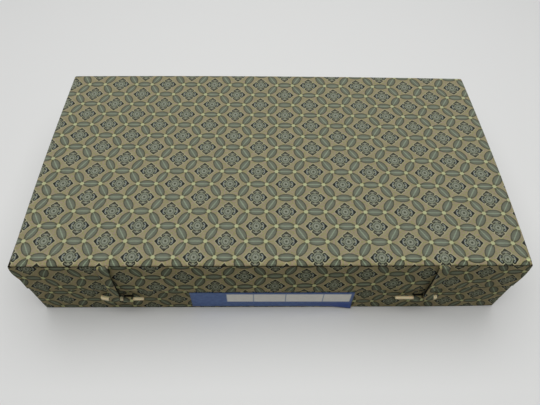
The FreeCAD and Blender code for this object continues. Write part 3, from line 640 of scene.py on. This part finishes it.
def ribbon(name, middle_x, path, width, thick, pattern, hem=0, slant=0.0, sway=0.0):
    """A flat strip with rounded edges along a path of (y, z) points, its width along X. With a hem on one
    side (1 or -1 along X) its back is near-black, and that edge is rolled and stands forward, most at seven
    tenths of the way down, so the dark back shows beside the strap as painted shade. Without one, the row
    of faces above the peg is near-black, painted shade above the loop. slant is how far its top lies to the
    side of its foot, and sway how far it swings sideways on the way down."""
    section = []
    for step in range(SECTION_STEPS + 1):
        turn = 2 * math.pi * step / SECTION_STEPS
        reach = math.copysign(abs(math.cos(turn)) ** SECTION_FLAT, math.cos(turn))
        at_back = SECTION_BACK < step < SECTION_STEPS
        rolled = HEM_ROLL * max(0.0, hem * reach) ** HEM_ROLL_POWER if at_back else 0.0
        section.append((reach * width / 2, math.sin(turn) * thick / 2 - rolled))
    lengths = walked(path)
    rows, cloth = [], []
    for index, ((y, z), length) in enumerate(zip(path, lengths)):
        before, after = path[max(index - 1, 0)], path[min(index + 1, len(path) - 1)]
        run_y, run_z = after[0] - before[0], after[1] - before[1]
        run = math.hypot(run_y, run_z)
        normal_y, normal_z = run_z / run, -run_y / run
        closed = END_PINCH if index in (0, len(path) - 1) else 1.0
        fallen = min(1.0, length / STRAP_FALL)
        bulge = math.sin(math.pi * fallen ** 2)
        forward = hem * HEM_FORWARD / width * bulge
        aside = middle_x + slant * (1 - fallen) + sway * bulge
        loose = closed
        if hem:
            loose = closed * (HEM_LEAST + (1 - HEM_LEAST) * math.sin(math.pi * fallen ** 1.5))
        rows.append([(aside + across, y + normal_y * max(out, loose * out) * closed - forward * across,
                      z + normal_z * max(out, loose * out) * closed) for across, out in section])
        cloth.append([pattern(across, length) for across, _ in section])
    # Painted shade: the back and rolled hem of a strap, and one row of a loop, take the near-black cloth.
    back = range(SECTION_BACK, SECTION_STEPS) if hem else ()
    shaded_rows = () if hem else [len(path) - SHADED_LOOP_ROW]
    return make_piece(name, rows, cloth, SHADED_UPRIGHT_BROCADE, 0.0, SHADE_BACKING, shaded_rows, back)


# Pattern places: where each panel was cut from the bolt, in millimetres on the cloth

# The top's start on the bolt, its stretch, its skew, its bend, and how unlike its halves are stretched
TOP_START_X, TOP_START_Y = 162.83, 106.31
TOP_STRETCH_X, TOP_STRETCH_Y = 0.9925, 0.9975
TOP_SKEW_X, TOP_SKEW_Y = -0.0232, 0.0067
TOP_BEND_X, TOP_BEND_Y = 1.8e-5, 3.6e-5
TOP_HALVES, TOP_HALVES_SOFT = 0.0207, 15.0

# The lid's and the tray's strips: start on the bolt, slope, and for the lid its stretch along the front
LID_START_X, LID_START_Y = 23.7, -23.6
LID_SLOPE = 0.0195
LID_SHRINK, LID_END_STRETCH = 0.0015, 4.3e-7
TRAY_START_X, TRAY_START_Y = -8.8, -12.7
TRAY_SLOPE = 0.0053


def top_cut(x, y):
    """The top panel: a trace off square, with its halves stretched unlike."""
    halves = TOP_HALVES * math.hypot(x, TOP_HALVES_SOFT)
    across = TOP_START_X + TOP_STRETCH_X * x + TOP_SKEW_X * y - halves
    upwards = TOP_START_Y + TOP_SKEW_Y * x + TOP_STRETCH_Y * y + TOP_BEND_Y * y * y + TOP_BEND_X * x * x
    return across, upwards


def lid_cut(distance, length):
    """One strip round the lid, running uphill from left to right along the front."""
    x = max(-HALF_LENGTH, min(HALF_LENGTH, distance))
    across = LID_START_X + distance - LID_SHRINK * x + LID_END_STRETCH * x ** 3
    return across, length + LID_START_Y - LID_SLOPE * x


def tray_cut(distance, length):
    """One strip round the tray, sinking a little all the way, its ends meeting under the label."""
    return distance + TRAY_START_X, length + TRAY_START_Y - TRAY_SLOPE * distance


def plain_cut(start_x, start_y, across, length):
    """A piece cut square from the cloth."""
    return across + start_x, length + start_y


hinge_cut = partial(plain_cut, 3.0, -9.0)
strap_cut = partial(plain_cut, 10.2, 16.0)
loop_cut = partial(plain_cut, 5.0, 4.0)
satin_cut = partial(plain_cut, 0.0, 0.0)


# Lid and tray cloth

# A move fades with this power away from the edge that it belongs to.
EDGE_FADE = 6
LEFT_BOW = 0.4
LEFT_FLARE = 0.3
# The belly of the lid's right and left walls, and how far below the top it ends.
RIGHT_BELLY, RIGHT_BELLY_END = 1.5, 36.0
LEFT_BELLY, LEFT_BELLY_END = 2.2, 24.0
# How far the tray's foot stands out at the front, how much more at its right end, and its fade to the ends.
FOOT_OUT, FOOT_SKEW, FOOT_FADE = 0.55, 0.4, 8


def lid_lean(x, y, height):
    """The lid's walls lean out towards the rim, the front bows out along it, more to the left, and the
    sides are bellied."""
    share = max(0.0, FLARE_STARTS - height) / (FLARE_STARTS - LID_LOW)
    bow = FRONT_BOW * max(0.0, 1 - (x / HALF_LENGTH) ** 2) + LEFT_BOW * (1 - x / HALF_LENGTH)
    forward = (FLARE_FRONT + bow) * share * max(0.0, -y / HALF_DEPTH) ** EDGE_FADE
    depth = LID_TOP - height
    belly = RIGHT_BELLY * max(0.0, math.sin(math.pi * depth / RIGHT_BELLY_END))
    flare = FLARE_SIDE
    if x < 0:
        belly = LEFT_BELLY * math.sin(math.pi * min(depth, LEFT_BELLY_END) / LEFT_BELLY_END)
        flare = LEFT_FLARE
    return x * (1 + (flare * share + belly) / HALF_LENGTH), y - forward


def tray_lean(x, y, height):
    """The tray's front stands out a little at its foot, more to the right."""
    along = x / HALF_LENGTH
    forward = (FOOT_OUT + FOOT_SKEW * along) * (1 - along ** FOOT_FADE) * max(0.0, 1 - height / TRAY_TOP)
    return x, y - forward * max(0.0, -y / HALF_DEPTH) ** EDGE_FADE


def no_lean(x, y, height):
    return x, y


# How far in the top's front edge starts to roll down, and how far it sinks.
FRONT_ROLL, FRONT_SINK = 6.0, 0.55
# How far the top's right and left sides stand out, and how far they are drawn in towards the front.
RIGHT_SWELL, RIGHT_PULL = 1.6, 0.9
LEFT_SWELL, LEFT_PULL = 0.9, 1.3
# How far the back edge stands out at its ends, how much more in its middle, and how far it lifts there.
BACK_OUT, BACK_BOW, BACK_LIFT = 1.1, 1.0, 0.8


def top_outline(x, y):
    """The padded top stands out beyond the walls along its sides and the back, where it also lifts a
    little. Along the front it rolls down."""
    along, across = x / HALF_LENGTH, y / HALF_DEPTH
    swell, pull = (RIGHT_SWELL, RIGHT_PULL) if x > 0 else (LEFT_SWELL, LEFT_PULL)
    side = (swell * (1 - across ** 2) - pull * max(0.0, -across) ** 1.5) * along ** EDGE_FADE
    back = (BACK_OUT + BACK_BOW * (1 - along ** 2)) * max(0.0, across) ** EDGE_FADE
    lift = BACK_LIFT * (1 - along ** 2) * max(0.0, across) ** 4
    sink = FRONT_SINK * max(0.0, 1 - (HALF_DEPTH + y) / FRONT_ROLL) ** 2
    return x + side * along, y + back, lift - sink


def same_outline(x, y):
    return x, y, 0.0


# Edges of padded panels: (inset, drop) from under the edge round to the flat
TOP_EDGE = [(4.0, 2.0), (0.7, 1.95), (0.2, 1.6), (0.0, 1.1), (0.06, 0.7), (0.25, 0.38), (0.7, 0.14),
            (1.6, 0.04), (5.2, 0.0)]
TOP_LEVEL = LID_TOP - 0.15
TOP_SWELL = 0.3
# The top's rolled front edge takes the upright copy, its figures painted deeper as shade.
lid_top = covered_panel("lid_top_cloth", HALF_LENGTH, HALF_DEPTH, TOP_EDGE, TOP_LEVEL, 1, TOP_SWELL,
                        top_outline, top_cut, BROCADE, SHADED_UPRIGHT_BROCADE)
stand_for(lid_top, "case_lid", "brocade", "lid_top_cover", "lid_wadding")

# Walls from foot to rim: (inset, height)
LID_WALL = [(0.75, 43.45), (0.3, 43.5), (0.05, 43.8), (0.0, 44.4)]
LID_WALL += [(0.0, height) for height in spread(47.0, 78.0, 2.0)]
LID_WALL += [(0.0, 79.3), (0.05, 79.7), (0.15, 79.85), (0.8, 80.0), (0.85, 81.2)]
# The wall cloth's top rows, in the seam under the top's edge, take the dark seam cloth: painted shade.
SEAM_ROWS = range(len(LID_WALL) - 3, len(LID_WALL) - 1)
lid_sides = wrapped_walls("lid_side_cloth", HALF_LENGTH, HALF_DEPTH, WALL_RADIUS, 1, LID_WALL, lid_lean,
                          lid_cut, SHADED_UPRIGHT_BROCADE, CLOTH_THICK, other=SEAM_SHADE_CLOTH, other_rows=SEAM_ROWS)
stand_for(lid_sides, "case_lid", "brocade", "lid_side_cover")

TRAY_WALL = [(0.8, 0.65), (0.3, 0.7), (0.05, 1.0), (0.0, 1.6)]
TRAY_WALL += [(0.0, height) for height in spread(4.0, 40.0, 2.0)]
TRAY_WALL += [(0.0, 42.0), (0.1, 42.6), (0.4, 42.95), (0.85, 43.0)]
tray_sides = wrapped_walls("tray_side_cloth", HALF_LENGTH, HALF_DEPTH, WALL_RADIUS, -1, TRAY_WALL,
                           tray_lean, tray_cut, SHADED_UPRIGHT_BROCADE, CLOTH_THICK)
stand_for(tray_sides, "case_tray", "brocade", "tray_cover")


# Hinge cloth across the back, with a soft fold at the joint

HINGE_HALF = 207.0
HINGE_LOW, HINGE_HIGH = 19.4, 67.0
HINGE_BACK = 114.75
HINGE_PITCH_X, HINGE_PITCH_Z = 9.0, 0.8
FOLD_OUT, FOLD_MIDDLE, FOLD_WIDTH = 1.05, 43.2, 2.2
RIPPLE_OUT, RIPPLE_X, RIPPLE_Z, RIPPLE_SLICE = 0.12, 30, 9, 1.3


def hinge_cloth():
    rows, cloth = [], []
    across = spread(-HINGE_HALF, HINGE_HALF, HINGE_PITCH_X)[::-1]
    for height in spread(HINGE_LOW, HINGE_HIGH, HINGE_PITCH_Z):
        fold = FOLD_OUT * math.exp(-((height - FOLD_MIDDLE) / FOLD_WIDTH) ** 2)
        row = []
        for x in across:
            ripple = RIPPLE_OUT * noise.noise((x / RIPPLE_X, height / RIPPLE_Z, RIPPLE_SLICE))
            row.append((x, HINGE_BACK + fold + ripple, height))
        rows.append(row)
        cloth.append([hinge_cut(-x, height) for x in across])
    return make_piece("hinge_cloth", rows, cloth, SHADED_UPRIGHT_BROCADE, CLOTH_THICK)


hinge = hinge_cloth()
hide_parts("hinge_cloth_tray", "hinge_cloth_lid")
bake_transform(hinge)


# Straps, loops and bone pegs: points are (y, z), and turns are in degrees

STRAP_WIDTH, STRAP_THICK = 9.0, 1.0
STRAP_SLACK, STRAP_SWAY = 1.4, 2.8
STRAP_SEAM = [(-113.8, 81.45), (-114.6, 81.5)]
SHOULDER_MIDDLE, SHOULDER_RADIUS = (-115.3, 80.05), 1.5
STRAP_FOOT = (PEG_AXIS[0] - 2.6, PEG_AXIS[1] + 0.8)
STRAP_STEP = 0.04
STRAP_WRAP, STRAP_WRAP_TURNS = 2.55, (190, 505)

LOOP_WIDTH, LOOP_THICK = 8.5, 0.9
LOOP_FACE = -114.55
LOOP_LOW_END, LOOP_HIGH_END = (20.8, 23.6), (31.4, 34.2)
LOOP_LOW_BEND, LOOP_HIGH_BEND = (-115.0, 24.4), (-115.0, 30.6)
LOOP_STEP = 0.7
LOOP_WRAP, LOOP_WRAP_TURNS = 2.45, (285, 75)

PEG_LENGTH = 37.5
PEG_RADIUS, PEG_TAPER = 1.95, 0.6
PEG_STEP = 2.0
PEG_SIDES = 20
FACET_DEPTH, FACET_COUNT, FACET_TURN = 0.05, 4, 0.6
BEND_POWER = 1.5


def arc(middle, radius, first, last, steps):
    turns = [math.radians(first + (last - first) * step / steps) for step in range(steps + 1)]
    return [(middle[0] + radius * math.cos(turn), middle[1] + radius * math.sin(turn)) for turn in turns]


def strap_path():
    """Out of the seam, over a soft shoulder, down in a slack bow, and round the peg."""
    path = STRAP_SEAM + arc(SHOULDER_MIDDLE, SHOULDER_RADIUS, 90, 180, 6)
    top, low = path[-1], STRAP_FOOT
    for share in spread(0.0, 1.0, STRAP_STEP)[1:]:
        slack = STRAP_SLACK * 4 * share * (1 - share)
        path.append((top[0] + (low[0] - top[0]) * share - slack, top[1] + (low[1] - top[1]) * share))
    return path + arc(PEG_AXIS, STRAP_WRAP, *STRAP_WRAP_TURNS, 24)


def loop_path():
    """Up the tray's front, round the front of the peg and back to the tray."""
    path = [(LOOP_FACE, height) for height in spread(*LOOP_LOW_END, LOOP_STEP)] + [LOOP_LOW_BEND]
    path += arc(PEG_AXIS, LOOP_WRAP, *LOOP_WRAP_TURNS, 16)
    return path + [LOOP_HIGH_BEND] + [(LOOP_FACE, height) for height in spread(*LOOP_HIGH_END, LOOP_STEP)]


def bone_peg(name, head_x, towards, head, bend):
    """A hand-cut peg: tapered, faintly faceted, with its ends rubbed round and its head bent up and back.
    head is how much of it stands out beyond the strap, and bend how far that is bent."""
    profile = [(0.0, 0.1), (0.05, 1.2), (0.25, 1.68), (0.7, 1.9)]
    for place in spread(PEG_STEP, PEG_LENGTH - PEG_STEP, PEG_STEP):
        profile.append((place, PEG_RADIUS - PEG_TAPER * place / PEG_LENGTH))
    profile += [(PEG_LENGTH - 0.6, 1.3), (PEG_LENGTH - 0.2, 1.05), (PEG_LENGTH, 0.1)]
    if towards < 0:
        profile = [(-place, radius) for place, radius in reversed(profile)]
    rows, cloth = [], []
    for place, radius in profile:
        row = []
        bent = bend * max(0.0, 1 - abs(place) / head) ** BEND_POWER
        for step in range(PEG_SIDES + 1):
            turn = 2 * math.pi * step / PEG_SIDES
            facet = 1 - FACET_DEPTH * math.cos(FACET_COUNT * turn + FACET_TURN)
            row.append((head_x + place, PEG_AXIS[0] + bent + radius * facet * math.cos(turn),
                        PEG_AXIS[1] + bent + radius * facet * math.sin(turn)))
        rows.append(row)
        cloth.append([(place, step) for step in range(PEG_SIDES + 1)])
    return make_piece(name, rows, cloth, BONE)


# Each side's own measures: the peg's head beyond the strap, the gap from strap to loop, the strap's slant,
# and the bend of the peg's head.
SIDES = (
    ("left", -1, 7.5, 3.5, 3.2, 1.2),
    ("right", 1, 3.5, 0.4, -1.8, 0.6),
)
for side, sign, head, loop_gap, slant, bend in SIDES:
    strap = ribbon(f"strap_{side}_ribbon", sign * STRAP_X, strap_path(), STRAP_WIDTH, STRAP_THICK,
                   strap_cut, -sign, slant, -STRAP_SWAY * sign)
    stand_for(strap, f"strap_{side}", "strap_cloth", f"strap_{side}")
    head_x = sign * (STRAP_X + STRAP_WIDTH / 2 + head)
    peg = bone_peg(f"peg_{side}_bone", head_x, -sign, head, bend)
    stand_for(peg, f"peg_{side}", "bone", f"peg_{side}")
    loop_x = sign * (STRAP_X - STRAP_WIDTH / 2 - loop_gap - LOOP_WIDTH / 2)
    loop = ribbon(f"loop_{side}_band", loop_x, loop_path(), LOOP_WIDTH, LOOP_THICK, loop_cut)
    stand_for(loop, "case_tray", "strap_cloth", f"loop_{side}")


# Label, with its lower right corner lifting off the cloth

LABEL_HALF = 73.5
LABEL_LOW, LABEL_HIGH = 3.2, 32.0
LABEL_THICK = 0.2
LABEL_PITCH_X, LABEL_PITCH_Z = 3.0, 1.5
# How far the label stands off the tray's front, and how far it sinks per millimetre to the right.
LABEL_OFF, LABEL_SLOPE = 0.28, 0.006
# The lifted corner's reach along and up, how far it comes away, how sharply, and how much it droops.
LIFT_X, LIFT_Z = 26.0, 11.0
LIFT_OUT, LIFT_POWER, LIFT_DROOP = 2.1, 1.6, 0.1
CREASE_OUT, CREASE_PITCH, CREASE_SLICE = 0.06, 12, 8.1


def paper_label():
    rows, cloth = [], []
    for height in spread(LABEL_LOW, LABEL_HIGH, LABEL_PITCH_Z):
        row, flat = [], []
        for x in spread(-LABEL_HALF, LABEL_HALF, LABEL_PITCH_X):
            corner = max(0.0, 1 - math.hypot((LABEL_HALF - x) / LIFT_X, (height - LABEL_LOW) / LIFT_Z))
            lift = LIFT_OUT * corner ** LIFT_POWER
            crease = CREASE_OUT * noise.noise((x / CREASE_PITCH, height / CREASE_PITCH, CREASE_SLICE))
            front = tray_lean(x, -HALF_DEPTH, height)[1]
            row.append((x, front - LABEL_OFF - lift - crease, height - LIFT_DROOP * lift - LABEL_SLOPE * x))
            flat.append((x, height))
        rows.append(row)
        cloth.append(flat)
    return make_piece("label_sheet", rows, cloth, LABEL_PAPER, LABEL_THICK)


stand_for(paper_label(), "case_tray", "label_paper", "label")


# Linings

FLOOR_HALF_X, FLOOR_HALF_Y, FLOOR_LEVEL = 204.9, 108.9, 5.35
FLOOR_EDGE = [(0.3, 0.6), (0.1, 0.3), (0.3, 0.08), (1.5, 0.0)]
floor_lining = covered_panel("floor_satin", FLOOR_HALF_X, FLOOR_HALF_Y, FLOOR_EDGE, FLOOR_LEVEL, 1, 0.0,
                             same_outline, satin_cut, SATIN)
stand_for(floor_lining, "case_tray", "lining", "tray_floor_lining")

CEILING_HALF_X, CEILING_HALF_Y, CEILING_LEVEL = 204.7, 108.7, 74.05
CEILING_EDGE = [(0.8, 2.4), (0.15, 2.2), (0.0, 1.6), (0.3, 0.8), (1.2, 0.3), (3.0, 0.05), (5.0, 0.0)]
lid_lining = covered_panel("lid_satin", CEILING_HALF_X, CEILING_HALF_Y, CEILING_EDGE, CEILING_LEVEL, -1,
                           0.0, same_outline, satin_cut, SATIN)
stand_for(lid_lining, "case_lid", "lining", "lid_lining")

INSIDE_HALF_X, INSIDE_HALF_Y, INSIDE_RADIUS = 204.3, 108.3, 1.5
SATIN_THICK = 0.4
WALL_SATIN = [(0.0, 5.45)] + [(0.0, height) for height in spread(8.0, 39.0, 4.0)]
WALL_SATIN += [(0.0, 40.4), (-0.2, 40.85), (-0.6, 41.0)]
wall_lining = wrapped_walls("wall_satin", INSIDE_HALF_X, INSIDE_HALF_Y, INSIDE_RADIUS, 1, WALL_SATIN,
                            no_lean, satin_cut, SATIN, SATIN_THICK, inward=True)
stand_for(wall_lining, "case_tray", "lining", "tray_wall_lining")


# Finishes of the pieces that come from the frame

FINISHES = {
    "tray_base_paper": BASE_PAPER,
    "ocean_grid_board": printed_grid("beech_ocean_grid", "#B9C2BC", "#9DAEAE", "#23456B"),
    "target_grid_board": printed_grid("beech_target_grid", "#D2B384", "#B48E58", "#5B2A22"),
    "pegs_white": PEG_WHITE,
    "pegs_red": PEG_RED,
}
for name, part in nodes.items():
    finish = FINISHES.get(name)
    wooden = name.endswith("_rack") or name.startswith(("bearer", "storage"))
    if finish is None and wooden:
        finish = RACK_WOOD
    if finish is None:
        finish = SHIP_PAINT if name.startswith("ship_") else BOARD_PAPER
    part.data.materials.clear()
    part.data.materials.append(finish)


# Stage: a pale table top, a broad soft light overhead, and a little light from all round

TABLE_HALF = 4.0
TABLE_FADE = (0.8, 1.8)
ROOM_GLOW = 0.72
ROOM_LIGHT = 0.04
LAMP_SIZE_X, LAMP_SIZE_Y = 1.9, 1.8
LAMP_POWER = 25.5
LAMP_PLACE = (0.0, 0.12, 1.3)

# The camera's place in millimetres, and its angles in degrees
CAMERA_PLACE = (-11.96, -285.48, 406.99)
CAMERA_YAW, CAMERA_DOWN, CAMERA_ROLL = -2.3235, 54.2903, 1.9187
CAMERA_LENS, CAMERA_SENSOR = 30.487, 36.0


def seen_directly(tree):
    """1 for what the camera, gloss and glass see, 0 for light that spreads."""
    rays = ("Is Camera Ray", "Is Glossy Ray", "Is Transmission Ray")
    camera_ray, glossy_ray, glass_ray = [add(tree, "LightPath", out=ray) for ray in rays]
    seen = add(tree, "Math MAXIMUM", (camera_ray, glossy_ray))
    return add(tree, "Math MAXIMUM", (seen, glass_ray))


def pale_floor():
    """A matt white table top that throws part of its light back on the case, and fades into the room."""
    material, tree, shader = finish_surface("pale_table", DULL)
    node = partial(add, tree)
    drift = node("TexNoise", {"Scale": 1.5, "Detail": 2.0})
    shade = node("Mix", {0: drift, 6: linear("#E2E3E2"), 7: linear("#DEDEDD")}, **RGBA)
    seen = seen_directly(tree)
    shade = node("Mix", {0: seen, 6: linear("#C8C5BC"), 7: shade}, **RGBA)
    tree.links.new(shade, shader.inputs["Base Color"])
    distance = node("VectorMath LENGTH", (node("TexCoord", out="Object"),), out=1)
    far = node("Math MULTIPLY", (node("MapRange", (distance, *TABLE_FADE)), seen))
    room = node("Emission", {"Color": linear("#FFFFFF"), "Strength": ROOM_GLOW})
    surface = node("MixShader", (far, shader.outputs[0], room))
    tree.links.new(surface, tree.nodes["Material Output"].inputs["Surface"])
    mesh = bpy.data.meshes.new("table_top")
    signs = ((-1, -1), (1, -1), (1, 1), (-1, 1))
    corners = [(x * TABLE_HALF, y * TABLE_HALF, 0) for x, y in signs]
    mesh.from_pydata(corners, [], [(0, 1, 2, 3)])
    mesh.materials.append(material)
    floor = put_in_scene("table_top", mesh)


def pale_room():
    """A faint light from all round, and a pale room beyond the table."""
    world = bpy.data.worlds.new("pale_room")
    bpy.context.scene.world = world
    world.use_nodes = True
    seen = seen_directly(world.node_tree)
    strength = add(world.node_tree, "MapRange", (seen, 0.0, 1.0, ROOM_LIGHT, ROOM_GLOW))
    background = world.node_tree.nodes["Background"]
    background.inputs["Color"].default_value = linear("#FFFFFF")
    world.node_tree.links.new(strength, background.inputs["Strength"])


pale_floor()
pale_room()
lamp_data = bpy.data.lights.new("ceiling_light", "AREA")
lamp_data.shape = "RECTANGLE"
lamp_data.size = LAMP_SIZE_X
lamp_data.size_y = LAMP_SIZE_Y
lamp_data.energy = LAMP_POWER
lamp = put_in_scene("ceiling_light", lamp_data)
lamp.location = LAMP_PLACE

camera_data = bpy.data.cameras.new("photo_camera")
camera_data.sensor_width = CAMERA_SENSOR
camera_data.lens = CAMERA_LENS
camera = put_in_scene("photo_camera", camera_data)
camera.matrix_world = (Matrix.Translation(Vector(CAMERA_PLACE) * MM)
                       @ Matrix.Rotation(math.radians(CAMERA_YAW), 4, "Z")
                       @ Matrix.Rotation(math.radians(90 - CAMERA_DOWN), 4, "X")
                       @ Matrix.Rotation(math.radians(CAMERA_ROLL), 4, "Z"))
bpy.context.scene.camera = camera
bpy.context.scene.view_settings.view_transform = "Standard"
